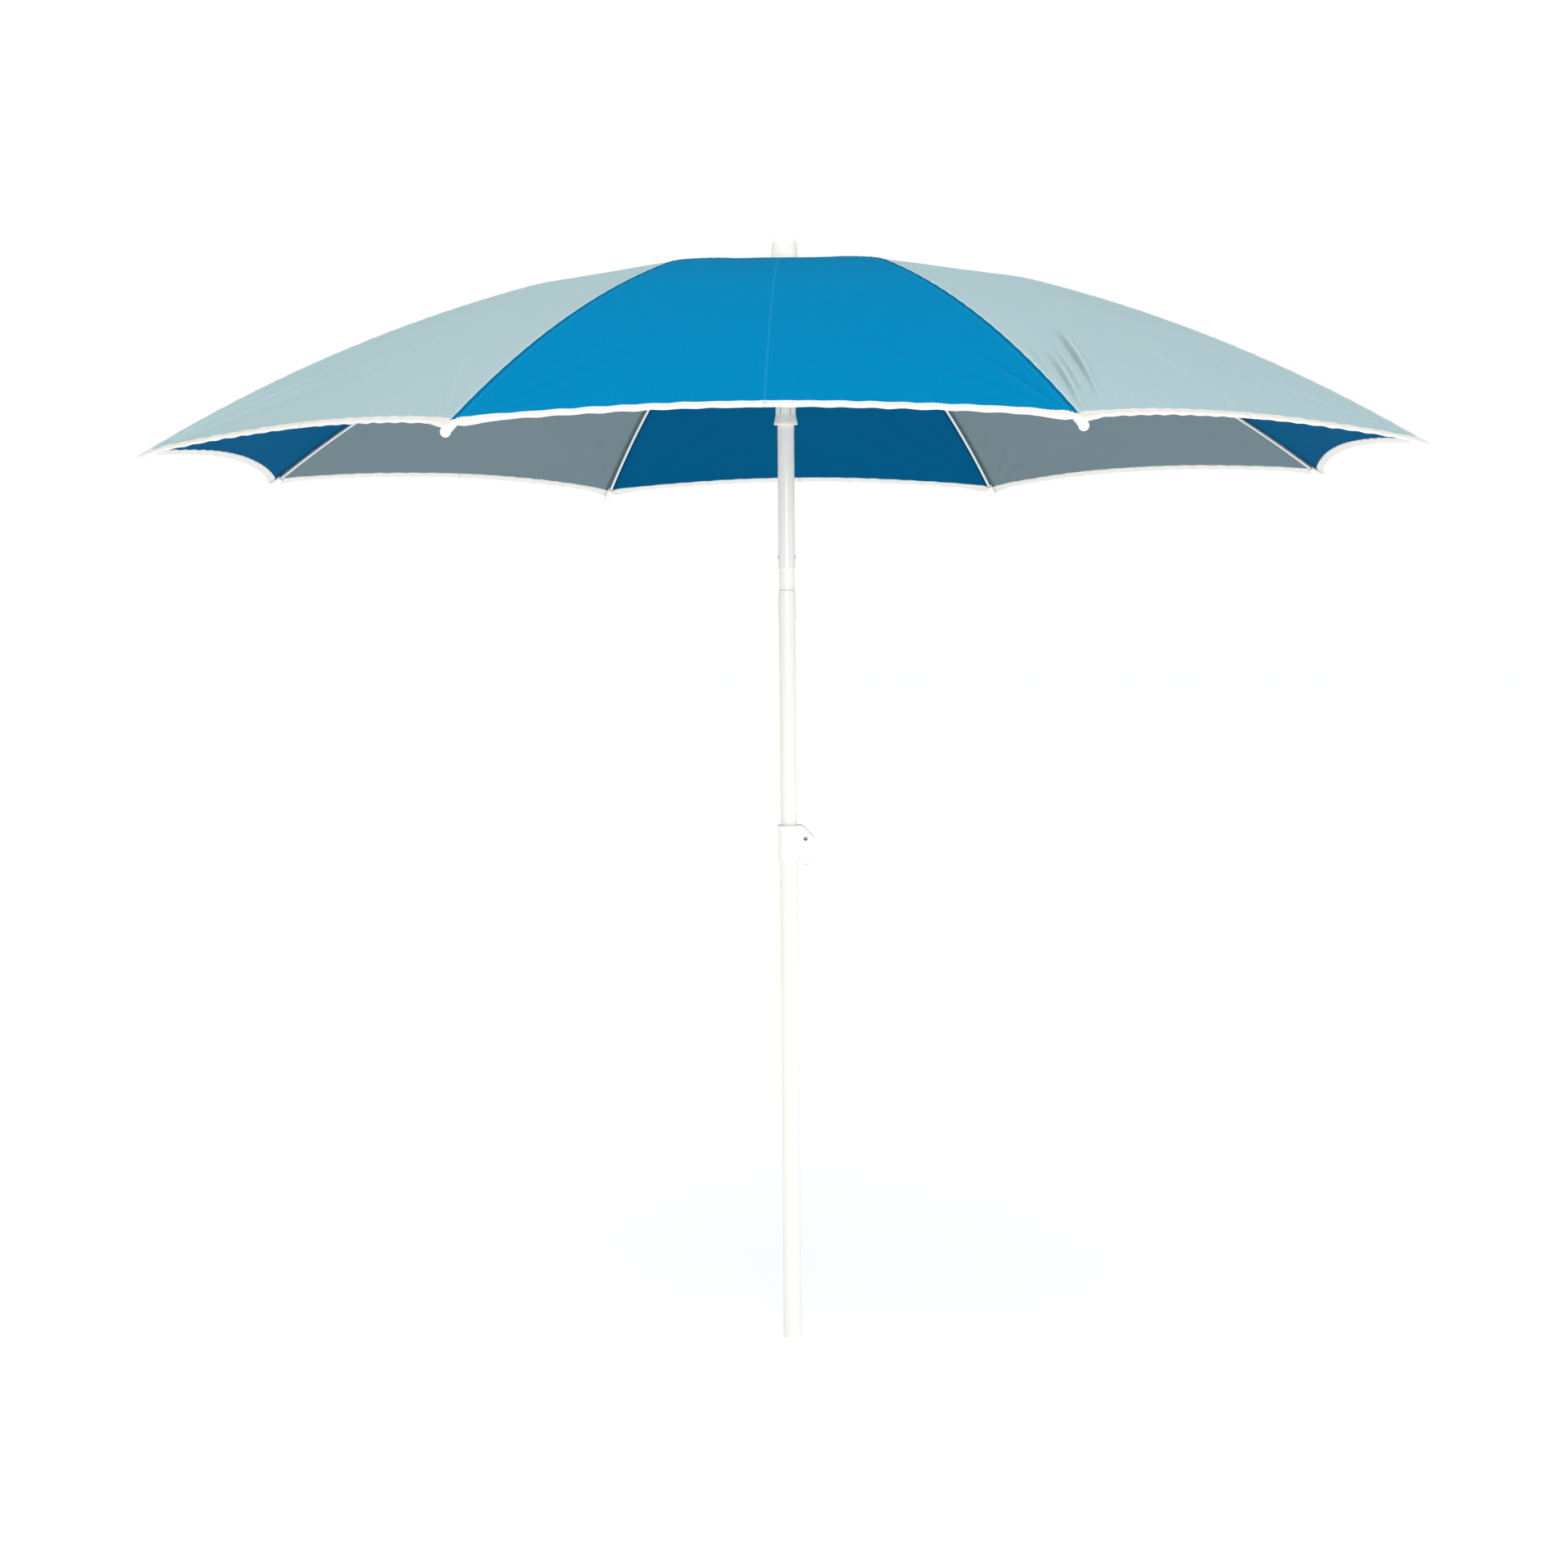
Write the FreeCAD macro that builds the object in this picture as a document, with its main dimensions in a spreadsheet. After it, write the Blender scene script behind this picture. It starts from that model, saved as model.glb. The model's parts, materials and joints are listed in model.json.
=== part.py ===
"""Beach umbrella: two-part pole with a lever clamp, tilt joint, eight hinged ribs and a canopy.

Millimetres, +Z up, origin at the centre of the pole's bottom end.
The umbrella opens on a crown wire under the finial. Each rib hinges there and is propped by a
stretcher of the same length as the inner rib link, so rib, stretcher and runner form an
isosceles linkage: the runner's pivots always stay straight below the crown's.
"""
import FreeCAD, Part
import math
import os
import re
import Sketcher

RIBS = 8
SECTOR = 360 / RIBS
HALF_SECTOR = SECTOR / 2
CUTTER_REACH = 40  # past everything that a cutter meets
SPOKE_LENGTH = 20
OVERRUN = 1  # how far a cutter starts before and ends after what it cuts
SLITS = 6
NEAR_ZERO = 1e-9

# outlines as (reach, height) from the lever's pin: a step is a straight run to one point, or an
# arc through the first of two points to the second
CHEEK_START = (-14.7, 17.7)
CHEEK_STEPS = [
    [(-5, 17.7)],
    [(8.8, 4)],
    [(10.9, 0.2), (9.6, -3.4)],
    [(3.3, -7.8)],
    [(-6.9, -17.7)],
    [(-14.7, -21)],
]
LEVER_START = (-2, 6.5)
LEVER_STEPS = [
    [(8.8, 3)],
    [(12.7, -2.3), (14.2, -17.8)],
    [(12, -33.5), (3.4, -43.1)],
    [(-2.3, -36.5)],
    [(4.3, -32.9), (6.5, -26)],
    [(6.5, -13.8)],
    [(3.8, -7)],
    [(-2, -6.5)],
]

SIZES = [
    # lower pole, foot and clamp
    ("pole_radius", 12.5),
    ("pole_bore_radius", 11.3),
    ("pole_neck_radius", 12.2),
    ("pole_neck_bottom", 650),
    ("pole_top", 692),
    ("foot_plug_height", 15),
    ("collar_radius", 14.4),
    ("collar_bottom", 652),
    ("collar_top", 700.5),
    ("collar_lip_height", 8.5),
    ("collar_flange_radius", 15.3),
    ("collar_flange_height", 2.6),
    ("collar_guide_radius", 11.25),
    ("window_half_width", 5.2),
    ("window_bottom", 667),
    ("window_height", 27),
    ("cheek_gap_bottom", 658),
    ("cheek_thickness", 4),
    ("lever_half_width", 4.8),
    ("lever_pin_reach", 22.7),
    ("lever_pin_height", 682.8),
    ("lever_pin_radius", 2.7),
    ("lever_pin_bore_radius", 1.6),
    ("pin_slit_width", 1.3),
    ("pin_stand", 0.5),
    ("pin_play", 0.25),
    ("lever_hub_radius", 7.5),
    ("cam_radius", 5),
    ("cam_offset", 6.4),
    # mast and tilt joint
    ("tube_radius", 11),
    ("tube_bore_radius", 10),
    ("mast_bottom", 360),
    ("mast_top", 975.5),
    ("bush_flange_radius", 11.2),
    ("bush_flange_height", 10),
    ("bush_plug_height", 25),
    ("tilt_pivot_height", 982.5),
    ("tilt_pin_radius", 2.5),
    ("tilt_pin_length", 18.8),
    ("knuckle_round_radius", 9),
    ("fork_head_radius", 8.8),
    ("knuckle_slot_half_width", 3),
    ("knuckle_tongue_half_width", 2.7),
    ("knuckle_gap", 0.5),
    ("knuckle_plug_length", 40),
    ("knuckle_upper_top", 1082),
    ("sleeve_radius", 11.5),
    ("sleeve_bore_radius", 10.4),
    ("sleeve_top", 1014),
    # canopy tube and crown
    ("canopy_tube_bottom", 1042),
    ("crown_top", 1438.6),
    ("crown_height", 14.6),
    ("crown_radius", 24),
    ("crown_sleeve_radius", 13.5),
    ("crown_sleeve_height", 19),
    ("crown_pivot_height", 1436),
    ("pivot_radius", 18),
    ("slot_inner_radius", 14.2),
    ("slot_half_width", 2.6),
    ("wire_radius", 1),
    ("groove_play", 0.05),
    ("rivet_height", 1058),
    ("rivet_head_radius", 2.4),
    ("rivet_shank_radius", 2),
    ("rivet_head_reach", 11.4),
    # finial and washer
    ("finial_bottom", 1452.4),
    ("finial_base_radius", 17.6),
    ("finial_shoulder_radius", 16.3),
    ("finial_shoulder_height", 12),
    ("finial_dome_height", 15.6),
    ("finial_nipple_radius", 3),
    ("finial_stud_radius", 6),
    ("finial_stud_overlap", 2),
    ("finial_plug_bottom", 1405),
    ("washer_radius", 17.5),
    ("washer_bore_radius", 6.2),
    ("washer_bottom", 1441.2),
    # runner and its catch
    ("runner_bottom", 1232.5),
    ("runner_bore_radius", 12),
    ("runner_barrel_radius", 13.25),
    ("runner_skirt_radius", 15.7),
    ("runner_skirt_height", 2),
    ("runner_flare_height", 12.5),
    ("runner_flange_height", 14),
    ("slit_width", 1.6),
    ("slit_height", 70),
    ("slit_rise", 0.5),
    ("catch_pivot_height", 1199.5),
    ("catch_pivot_reach", 9),
    ("catch_half_width", 1.2),
    ("catch_axle_length", 12),
    ("catch_slot_half_width", 1.6),
    ("catch_slot_room", 5),
    ("catch_reach", 14.5),
    ("catch_top", 1231.9),
    # ribs, stretchers and tips
    ("link_length", 300),
    ("link_angle", 7.83),
    ("rod_radius", 2.1),
    ("stretcher_radius", 2),
    ("eye_radius", 2.6),
    ("eye_half_width", 1.8),
    ("eye_hole_radius", 1.3),
    ("rib_mid_reach", 170),
    ("rib_mid_height", 1424),
    ("rib_end_reach", 323),
    ("rib_end_height", 1401.4),
    ("flex_gap", 2.5),
    ("outer_mid_reach", 581),
    ("outer_mid_height", 1308.2),
    ("tip_reach", 833),
    ("tip_height", 1171.5),
    ("tip_ball_radius", 5.5),
    ("tip_sleeve_radius", 4.5),
    ("tip_sleeve_length", 25),
    ("bracket_length", 18),
    ("bracket_inner_half_width", 2.3),
    ("bracket_outer_half_width", 3.5),
    ("bracket_wall", 1.2),
    ("bracket_drop", 3.6),
    ("bracket_rise", 7.6),
    ("bracket_cap", 0.6),
    ("bracket_rivet_radius", 1.2),
    ("bracket_rivet_stand", 0.8),
    # canopy fabric, modelled thicker than the cloth
    ("fabric_thickness", 1.2),
    ("fabric_inner_reach", 16),
    ("fabric_inner_height", 1440.2),
    ("fabric_mid_height", 1427.7),
    ("fabric_bend_reach", 326),
    ("fabric_bend_height", 1405),
    ("fabric_outer_mid_height", 1312.6),
    ("fabric_rim_reach", 829),
    ("fabric_rim_height", 1180.5),
    ("scallop_depth", 24),
    ("crease_gap", 0.3),
]

doc = FreeCAD.newDocument("BeachUmbrella")
sheet = doc.addObject("Spreadsheet::Sheet", "Sizes")
for row, (alias, value) in enumerate(SIZES, start=1):
    sheet.set(f"A{row}", alias)
    sheet.set(f"B{row}", str(value))
    sheet.setAlias(f"B{row}", alias)
doc.recompute()

V = FreeCAD.Vector
SUB_PARTS = []


def size(alias):
    """A driving dimension as a number."""
    return float(sheet.get(alias))


def bound(text):
    """The text of a size formula with each alias pointing at the sheet."""
    return re.sub(r"[a-z_]+", lambda word: "Sizes." + word[0], text)


def value(text):
    """The number that a size formula gives."""
    return float(sheet.evalExpression(bound(text)))


def bind(thing, **formulas):
    """Tie the properties of an object to formulas of the sheet."""
    for name, text in formulas.items():
        thing.setExpression(name, bound(text))
    return thing


def name_part(thing, label):
    """Register a finished sub-part under the label that names its file."""
    thing.Label = label
    SUB_PARTS.append(thing)
    return thing


def lift(thing, height):
    """Stand an object at a height on the umbrella's axis."""
    thing.setExpression("Placement.Base.z", bound(height))
    return thing


def turned(name, outline):
    """A revolved body from (radius, height) formulas, heights from the body's own base."""
    body = doc.addObject("PartDesign::Body", name)
    planes = {feature.Role: feature for feature in body.Origin.OriginFeatures}
    sketch = body.newObject("Sketcher::SketchObject", name + "_outline")
    sketch.AttachmentSupport = [(planes["XZ_Plane"], "")]
    sketch.MapMode = "FlatFace"
    corners = [V(value(radius), value(height), 0) for radius, height in outline]
    count = len(corners)
    for i in range(count):
        sketch.addGeometry(Part.LineSegment(corners[i], corners[(i + 1) % count]), False)
    for i in range(count):
        sketch.addConstraint(Sketcher.Constraint("Coincident", i, 2, (i + 1) % count, 1))
    for i in range(count):
        across = ("DistanceX", corners[i].x, outline[i][0], -2)
        upwards = ("DistanceY", corners[i].y, outline[i][1], -1)
        for kind, number, text, axis in (across, upwards):
            if abs(number) < NEAR_ZERO:
                sketch.addConstraint(Sketcher.Constraint("PointOnObject", i, 1, axis))
                continue
            index = sketch.addConstraint(Sketcher.Constraint(kind, -1, 1, i, 1, number))
            sketch.setExpression(f"Constraints[{index}]", bound(text))
    revolution = body.newObject("PartDesign::Revolution", name + "_turn")
    revolution.Profile = sketch
    revolution.ReferenceAxis = (sketch, ["V_Axis"])
    revolution.Angle = 360
    return body


def cylinder(name, radius, height, base=V(0, 0, 0), axis=V(0, 0, 1)):
    """A cylinder bound to two formulas, starting at base and running along axis."""
    thing = bind(doc.addObject("Part::Cylinder", name), Radius=radius, Height=height)
    thing.Placement = FreeCAD.Placement(base, FreeCAD.Rotation(V(0, 0, 1), axis))
    return thing


def cross_pin(name, radius, half_length, reach, height):
    """A cylinder along Y, centred on the XZ plane."""
    start = V(reach, -value(half_length), height)
    return cylinder(name, radius, f"2 * ({half_length})", start, V(0, 1, 0))


def block(name, low, high):
    """A box between two opposite corners."""
    thing = doc.addObject("Part::Box", name)
    thing.Length = high[0] - low[0]
    thing.Width = high[1] - low[1]
    thing.Height = high[2] - low[2]
    thing.Placement.Base = V(*low)
    return thing


def plate(name, outline, half_width):
    """A straight-edged plate across the YZ plane, extruded both ways by half_width."""
    corners = [V(0, across, height) for across, height in outline]
    face = doc.addObject("Part::Polygon", name + "_edge")
    face.Nodes = corners
    face.Close = True
    thing = doc.addObject("Part::Extrusion", name)
    thing.Base = face
    thing.DirMode = "Custom"
    thing.Dir = V(1, 0, 0)
    thing.Symmetric = True
    thing.LengthFwd = 2 * half_width
    thing.Solid = True
    return thing


def curved_plate(name, start, steps, half_width, centre):
    """A plate across the XZ plane with straight and round edges, measured from its centre."""

    def place(point):
        return V(centre[0] + point[0], 0, centre[1] + point[1])

    here = place(start)
    edges = []
    for step in steps:
        points = [here] + [place(point) for point in step]
        edges.append(Part.ArcOfCircle(*points).toShape() if len(step) == 2 else Part.makeLine(*points))
        here = points[-1]
    if (here - place(start)).Length > NEAR_ZERO:
        edges.append(Part.makeLine(here, place(start)))
    edge = doc.addObject("Part::Feature", name + "_edge")
    edge.Shape = Part.Face(Part.Wire(edges))
    thing = doc.addObject("Part::Extrusion", name)
    thing.Base = edge
    thing.DirMode = "Custom"
    thing.Dir = V(0, 1, 0)
    thing.Symmetric = True
    thing.LengthFwd = 2 * half_width
    thing.Solid = True
    return thing


def fuse(name, *pieces):
    """One solid of several touching pieces."""
    thing = doc.addObject("Part::MultiFuse", name)
    thing.Shapes = list(pieces)
    return thing


def cut(name, base, *tools):
    """The base less every tool."""
    thing = doc.addObject("Part::Cut", name)
    thing.Base = base
    thing.Tool = tools[0] if len(tools) == 1 else fuse(name + "_tools", *tools)
    return thing


def group(name, *pieces):
    """Several separate solids kept in one sub-part."""
    thing = doc.addObject("Part::Compound", name)
    thing.Links = list(pieces)
    return thing


def arc_rod(name, start, middle, end, radius):
    """A round rod bent along the circle through three (reach, height) points of the XZ plane."""
    points = [V(reach, 0, height) for reach, height in (start, middle, end)]
    circle = Part.ArcOfCircle(*points)
    centre = circle.Center
    first = (points[0] - centre).normalize()
    last = (points[2] - centre).normalize()
    side = (last - first * last.dot(first)).normalize()
    rod = bind(doc.addObject("Part::Torus", name), Radius2=radius)
    rod.Radius1 = circle.Radius
    rod.Angle3 = math.degrees(first.getAngle(last))
    rod.Placement = FreeCAD.Placement(centre, FreeCAD.Rotation(first, side, first.cross(side), "XYZ"))
    return rod


def around(thing, name, index):
    """The copy of a sub-part that belongs to one rib."""
    copy = group(name, thing)
    turn = FreeCAD.Rotation(V(0, 0, 1), HALF_SECTOR + SECTOR * index)
    copy.Placement = FreeCAD.Placement(V(0, 0, 0), turn)
    return copy


def spoke(name, angle, reach, half_width, bottom, top):
    """A radial cutter, centred on the line that leaves the axis at an angle."""
    tool = block(name, (0, 0, 0), (SPOKE_LENGTH, 2 * half_width, top - bottom))
    turn = FreeCAD.Rotation(V(0, 0, 1), angle)
    tool.Placement = FreeCAD.Placement(turn.multVec(V(reach, -half_width, bottom)), turn)
    return tool


def radial_slots(name, bottom, top):
    """One slot per rib, from the slot's inner radius outwards."""
    reach = size("slot_inner_radius")
    half = size("slot_half_width")
    angles = [HALF_SECTOR + SECTOR * index for index in range(RIBS)]
    return [spoke(f"{name}_{i + 1}", angle, reach, half, bottom, top) for i, angle in enumerate(angles)]


def wire_ring(name, height, radius="wire_radius"):
    """The wire that the ends of the ribs or stretchers are threaded on."""
    ring = bind(doc.addObject("Part::Torus", name), Radius1="pivot_radius", Radius2=radius)
    ring.Placement.Base.z = height
    return ring


# ---- where the linkage's pivots lie -------------------------------------------------------
LINK = size("link_length")
LINK_ANGLE = math.radians(size("link_angle"))
PIVOT = size("pivot_radius")
CROWN = size("crown_pivot_height")
BRACKET = (PIVOT + LINK * math.cos(LINK_ANGLE), CROWN - LINK * math.sin(LINK_ANGLE))
RUNNER = CROWN - 2 * LINK * math.sin(LINK_ANGLE)


def pole_and_clamp():
    """The lower pole, its foot plug and the lever clamp at its top."""
    window = block(
        "window",
        (0, -size("window_half_width"), size("window_bottom")),
        (CUTTER_REACH, size("window_half_width"), size("window_bottom") + size("window_height")),
    )
    pole = turned(
        "pole",
        [
            ("pole_bore_radius", "0"),
            ("pole_radius", "0"),
            ("pole_radius", "pole_neck_bottom"),
            ("pole_neck_radius", "pole_neck_bottom"),
            ("pole_neck_radius", "pole_top"),
            ("pole_bore_radius", "pole_top"),
        ],
    )
    name_part(cut("pole_cut", pole, window), "lower_pole")
    plug = turned(
        "plug",
        [
            ("0", "0"),
            ("pole_bore_radius", "0"),
            ("pole_bore_radius", "foot_plug_height"),
            ("0", "foot_plug_height"),
        ],
    )
    name_part(plug, "foot_plug")

    collar = turned(
        "collar",
        [
            ("pole_neck_radius", "0"),
            ("collar_radius", "0"),
            ("collar_radius", "collar_top - collar_bottom - collar_flange_height"),
            ("collar_flange_radius", "collar_top - collar_bottom - collar_flange_height"),
            ("collar_flange_radius", "collar_top - collar_bottom"),
            ("collar_guide_radius", "collar_top - collar_bottom"),
            ("collar_guide_radius", "collar_top - collar_bottom - collar_lip_height"),
            ("pole_neck_radius", "collar_top - collar_bottom - collar_lip_height"),
        ],
    )
    lift(collar, "collar_bottom")
    reach = size("lever_pin_reach")
    height = size("lever_pin_height")
    cheek_half = size("window_half_width") + size("cheek_thickness")
    cheeks = curved_plate("cheeks", CHEEK_START, CHEEK_STEPS, cheek_half, (reach, height))
    core = cylinder("collar_core", "(pole_radius + collar_radius) / 2", "collar_top")
    cheeks_open = cut("cheeks_open", cheeks, core)
    pin_hole_half = "window_half_width + cheek_thickness + 1"
    pin_hole = cross_pin("pin_hole", "lever_pin_radius", pin_hole_half, reach, height)
    gap = block(
        "cheek_gap",
        (0, -size("window_half_width"), size("cheek_gap_bottom")),
        (
            CUTTER_REACH,
            size("window_half_width"),
            size("window_bottom") + size("window_height") + OVERRUN,
        ),
    )
    collar_body = fuse("collar_body", collar, cheeks_open)
    name_part(cut("collar_cut", collar_body, gap, pin_hole), "clamp_collar")

    # a rolled spring pin: a tube with a slit along it
    pin_half = "window_half_width + cheek_thickness + pin_stand"
    pin = cross_pin("pin", "lever_pin_radius", pin_half, reach, height)
    pin_bore = cross_pin("pin_bore", "lever_pin_bore_radius", pin_hole_half, reach, height)
    slit_half = size("pin_slit_width") / 2
    slit = block(
        "pin_slit",
        (reach, -cheek_half - OVERRUN, height - slit_half),
        (reach + CUTTER_REACH, cheek_half + OVERRUN, height + slit_half),
    )
    name_part(cut("pin_cut", pin, pin_bore, slit), "clamp_pin")

    half = size("lever_half_width")
    arm = curved_plate("lever_arm", LEVER_START, LEVER_STEPS, half, (reach, height))
    hub = cross_pin("lever_hub", "lever_hub_radius", "lever_half_width", reach, height)
    cam = cross_pin("lever_cam", "cam_radius", "lever_half_width", reach - size("cam_offset"), height)
    bore = cross_pin("lever_bore", "lever_pin_radius + pin_play", "lever_half_width + 1", reach, height)
    name_part(cut("lever_cut", fuse("lever_body", arm, hub, cam), bore), "clamp_lever")


def mast_and_tilt():
    """The sliding mast, the fork and tongue of the tilt joint and the sleeve that locks it."""
    tube = turned(
        "mast",
        [
            ("tube_bore_radius", "0"),
            ("tube_radius", "0"),
            ("tube_radius", "mast_top - mast_bottom"),
            ("tube_bore_radius", "mast_top - mast_bottom"),
        ],
    )
    name_part(lift(tube, "mast_bottom"), "mast_tube")
    bush = turned(
        "bush",
        [
            ("0", "0"),
            ("bush_flange_radius", "0"),
            ("bush_flange_radius", "bush_flange_height"),
            ("tube_bore_radius", "bush_flange_height"),
            ("tube_bore_radius", "bush_flange_height + bush_plug_height"),
            ("0", "bush_flange_height + bush_plug_height"),
        ],
    )
    name_part(lift(bush, "mast_bottom - bush_flange_height"), "mast_bush")

    pivot = size("tilt_pivot_height")
    round_radius = size("knuckle_round_radius")
    slot_half = size("knuckle_slot_half_width")
    gap = size("knuckle_gap")
    plug_length = size("knuckle_plug_length")
    plug_bottom = size("mast_top") - plug_length
    bar_height = "tilt_pivot_height - mast_top + knuckle_plug_length"
    bar = cylinder("fork_bar", "tube_bore_radius", bar_height, V(0, 0, plug_bottom))
    # above its pin the fork is slimmer, so that the lifted sleeve swings clear of it
    head_height = "tilt_pivot_height + knuckle_round_radius - mast_top + knuckle_plug_length"
    head = cylinder("fork_head", "fork_head_radius", head_height, V(0, 0, plug_bottom))
    wide = size("tube_radius") + OVERRUN
    below_pivot = block("fork_below_pivot", (-wide, -wide, plug_bottom - OVERRUN), (wide, wide, pivot))
    rounding = cross_pin("fork_rounding", "knuckle_round_radius", "tube_radius", 0, pivot)
    fork = doc.addObject("Part::Common", "fork")
    fork.Base = fuse("fork_bars", bar, head)
    fork.Tool = fuse("fork_envelope", below_pivot, rounding)
    slot = block(
        "fork_slot",
        (-wide, -slot_half, pivot - round_radius - gap),
        (wide, slot_half, pivot + round_radius + OVERRUN),
    )
    pin_hole = cross_pin("fork_hole", "tilt_pin_radius", "tube_radius", 0, pivot)
    name_part(cut("fork_cut", fork, slot, pin_hole), "knuckle_lower")
    name_part(cross_pin("tilt_axle", "tilt_pin_radius", "tilt_pin_length / 2", 0, pivot), "tilt_pin")

    shoulder = pivot + round_radius + gap
    neck_height = "knuckle_upper_top - tilt_pivot_height - knuckle_round_radius - knuckle_gap"
    neck = cylinder("neck", "tube_bore_radius", neck_height, V(0, 0, shoulder))
    tongue_half = size("knuckle_tongue_half_width")
    tongue = block("tongue", (-round_radius, -tongue_half, pivot), (round_radius, tongue_half, shoulder + 1))
    tongue_end = cross_pin("tongue_end", "knuckle_round_radius", "knuckle_tongue_half_width", 0, pivot)
    tongue_hole = cross_pin("tongue_hole", "tilt_pin_radius + pin_play", "tube_radius", 0, pivot)
    rivet_start = V(-2 * size("tube_radius"), 0, size("rivet_height"))
    rivet_hole = cylinder("rivet_hole", "rivet_shank_radius", "4 * tube_radius", rivet_start, V(1, 0, 0))
    tongue_body = fuse("tongue_body", neck, tongue, tongue_end)
    name_part(cut("tongue_cut", tongue_body, tongue_hole, rivet_hole), "knuckle_upper")

    sleeve = turned(
        "sleeve",
        [
            ("sleeve_bore_radius", "0"),
            ("sleeve_radius", "0"),
            ("sleeve_radius", "sleeve_top - mast_top"),
            ("sleeve_bore_radius", "sleeve_top - mast_top"),
        ],
    )
    name_part(lift(sleeve, "mast_top"), "tilt_sleeve")


def canopy_tube_and_crown():
    """The upper tube, its rivets, the slotted crown with its wire, the washer and the finial."""
    tube = turned(
        "upper_tube",
        [
            ("tube_bore_radius", "0"),
            ("tube_radius", "0"),
            ("tube_radius", "crown_top - canopy_tube_bottom"),
            ("tube_bore_radius", "crown_top - canopy_tube_bottom"),
        ],
    )
    lift(tube, "canopy_tube_bottom")
    height = size("rivet_height")
    reach = size("rivet_head_reach")
    radius = size("tube_radius")
    along_x = V(1, 0, 0)
    shank_start = V(-reach, 0, height)
    shank = cylinder("rivet_shank", "rivet_shank_radius", "2 * rivet_head_reach", shank_start, along_x)
    heads = [
        cylinder(f"rivet_head_{side}", "rivet_head_radius", "rivet_head_reach - tube_radius", start, along_x)
        for side, start in (("right", V(radius, 0, height)), ("left", V(-reach, 0, height)))
    ]
    pivot = size("catch_pivot_height")
    pivot_reach = size("catch_pivot_reach")
    axle_start = V(-size("catch_axle_length") / 2, pivot_reach, pivot)
    catch_pin = cylinder("catch_axle", "wire_radius", "catch_axle_length", axle_start, along_x)
    name_part(group("rivets", fuse("knuckle_rivet", shank, *heads), catch_pin), "tube_rivets")

    slot_half = size("catch_slot_half_width")
    room = size("catch_slot_room")
    catch_slot = block(
        "catch_slot",
        (-slot_half, pivot_reach - room, pivot - room),
        (slot_half, pivot_reach + room, size("catch_top") + slot_half),
    )
    rivet_start = V(-2 * radius, 0, height)
    rivet_bore = cylinder("rivet_bore", "rivet_shank_radius", "4 * tube_radius", rivet_start, along_x)
    bore_start = V(-size("tube_bore_radius"), pivot_reach, pivot)
    catch_bore = cylinder("catch_bore", "wire_radius", "2 * tube_bore_radius", bore_start, along_x)
    name_part(cut("upper_tube_cut", tube, catch_slot, rivet_bore, catch_bore), "canopy_tube")

    crown = turned(
        "crown",
        [
            ("tube_radius", "0"),
            ("crown_sleeve_radius", "0"),
            ("crown_sleeve_radius", "crown_sleeve_height"),
            ("crown_radius", "crown_sleeve_height"),
            ("crown_radius", "crown_sleeve_height + crown_height"),
            ("tube_radius", "crown_sleeve_height + crown_height"),
        ],
    )
    lift(crown, "crown_top - crown_height - crown_sleeve_height")
    slot_bottom = size("crown_top") - size("crown_height") - OVERRUN
    slots = radial_slots("crown_slot", slot_bottom, size("crown_top") + OVERRUN)
    groove = wire_ring("crown_groove", CROWN, "wire_radius + groove_play")
    name_part(cut("crown_cut", crown, *slots, groove), "crown_hub")
    name_part(wire_ring("crown_ring", CROWN), "crown_wire")

    washer = turned(
        "washer",
        [
            ("washer_bore_radius", "0"),
            ("washer_radius", "0"),
            ("washer_radius", "finial_bottom - washer_bottom"),
            ("washer_bore_radius", "finial_bottom - washer_bottom"),
        ],
    )
    name_part(lift(washer, "washer_bottom"), "top_washer")

    base = size("finial_bottom")
    plug_start = V(0, 0, size("finial_plug_bottom"))
    plug = cylinder("finial_plug", "tube_bore_radius", "crown_top - finial_plug_bottom", plug_start)
    stud_height = "finial_bottom + finial_stud_overlap - crown_top"
    stud = cylinder("finial_stud", "finial_stud_radius", stud_height, V(0, 0, size("crown_top")))
    skirt = bind(
        doc.addObject("Part::Cone", "finial_skirt"),
        Radius1="finial_base_radius",
        Radius2="finial_shoulder_radius",
        Height="finial_shoulder_height",
    )
    skirt.Placement.Base.z = base
    dome = bind(
        doc.addObject("Part::Ellipsoid", "finial_dome"),
        Radius1="finial_dome_height",
        Radius2="finial_shoulder_radius",
        Radius3="finial_shoulder_radius",
    )
    dome.Angle1 = 0
    dome.Placement.Base.z = base + size("finial_shoulder_height")
    nipple = bind(doc.addObject("Part::Sphere", "finial_nipple"), Radius="finial_nipple_radius")
    nipple.Placement.Base.z = base + size("finial_shoulder_height") + size("finial_dome_height")
    name_part(fuse("finial_body", plug, stud, skirt, dome, nipple), "finial")


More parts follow.
